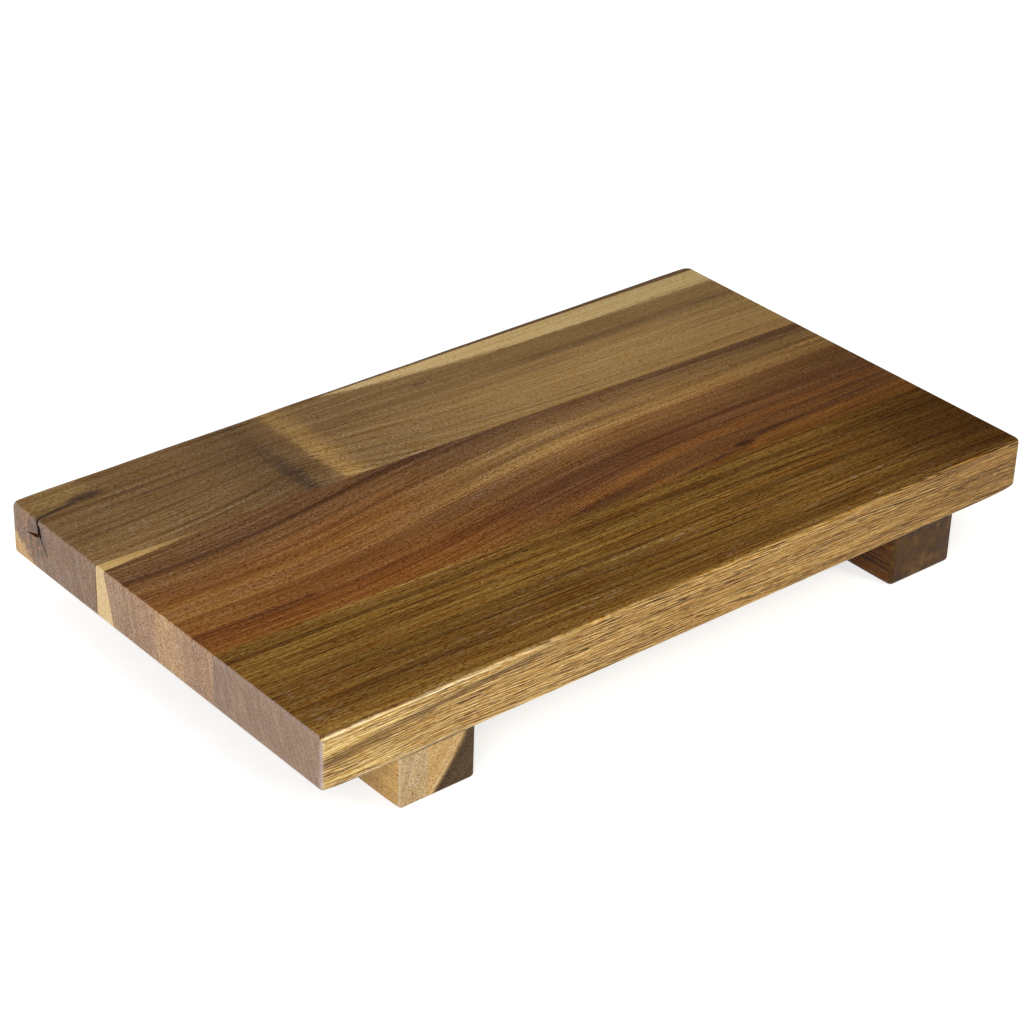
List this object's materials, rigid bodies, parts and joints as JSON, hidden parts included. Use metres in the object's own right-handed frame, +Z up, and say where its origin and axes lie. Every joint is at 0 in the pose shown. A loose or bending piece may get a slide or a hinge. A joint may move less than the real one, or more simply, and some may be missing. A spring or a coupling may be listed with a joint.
{
  "type": "wooden riser",
  "caption": "Low rectangular wooden riser: an edge-glued hardwood board with rounded edges, standing on foot rails, for lifting and serving things on a table.",
  "frame": {"origin": "on the table surface under the middle of the riser, at the bottom centre of its bounding box", "axes": "+X along the board's length, -Y towards the front edge that the picture shows, +Z up"},
  "size_m": [0.3, 0.171, 0.0393],
  "materials": {
    "stave_back_wood": "oiled hardwood, olive brown with a pale sapwood stripe, satin",
    "stave_middle_wood": "oiled hardwood, reddish brown with dark bands, satin",
    "stave_front_wood": "oiled hardwood, golden olive brown with fine dark pores, satin",
    "foot_left_outer_wood": "oiled hardwood, speckled pale tan sapwood, satin",
    "foot_left_inner_wood": "oiled hardwood, orange tan sapwood against dark heartwood, satin",
    "foot_right_inner_wood": "oiled hardwood, dark brown heartwood, satin",
    "foot_right_outer_wood": "oiled hardwood, dark reddish heartwood, satin",
    "dowel_wood": "bare pale hardwood, matt"
  },
  "bodies": {
    "root": {"stave_back": "stave_back_wood", "stave_middle": "stave_middle_wood", "stave_front": "stave_front_wood", "foot_left_outer": "foot_left_outer_wood", "foot_left_inner": "foot_left_inner_wood", "foot_right_inner": "foot_right_inner_wood", "foot_right_outer": "foot_right_outer_wood", "dowel_left_back": "dowel_wood", "dowel_left_middle": "dowel_wood", "dowel_left_front": "dowel_wood", "dowel_right_back": "dowel_wood", "dowel_right_middle": "dowel_wood", "dowel_right_front": "dowel_wood"}
  },
  "joints": []
}
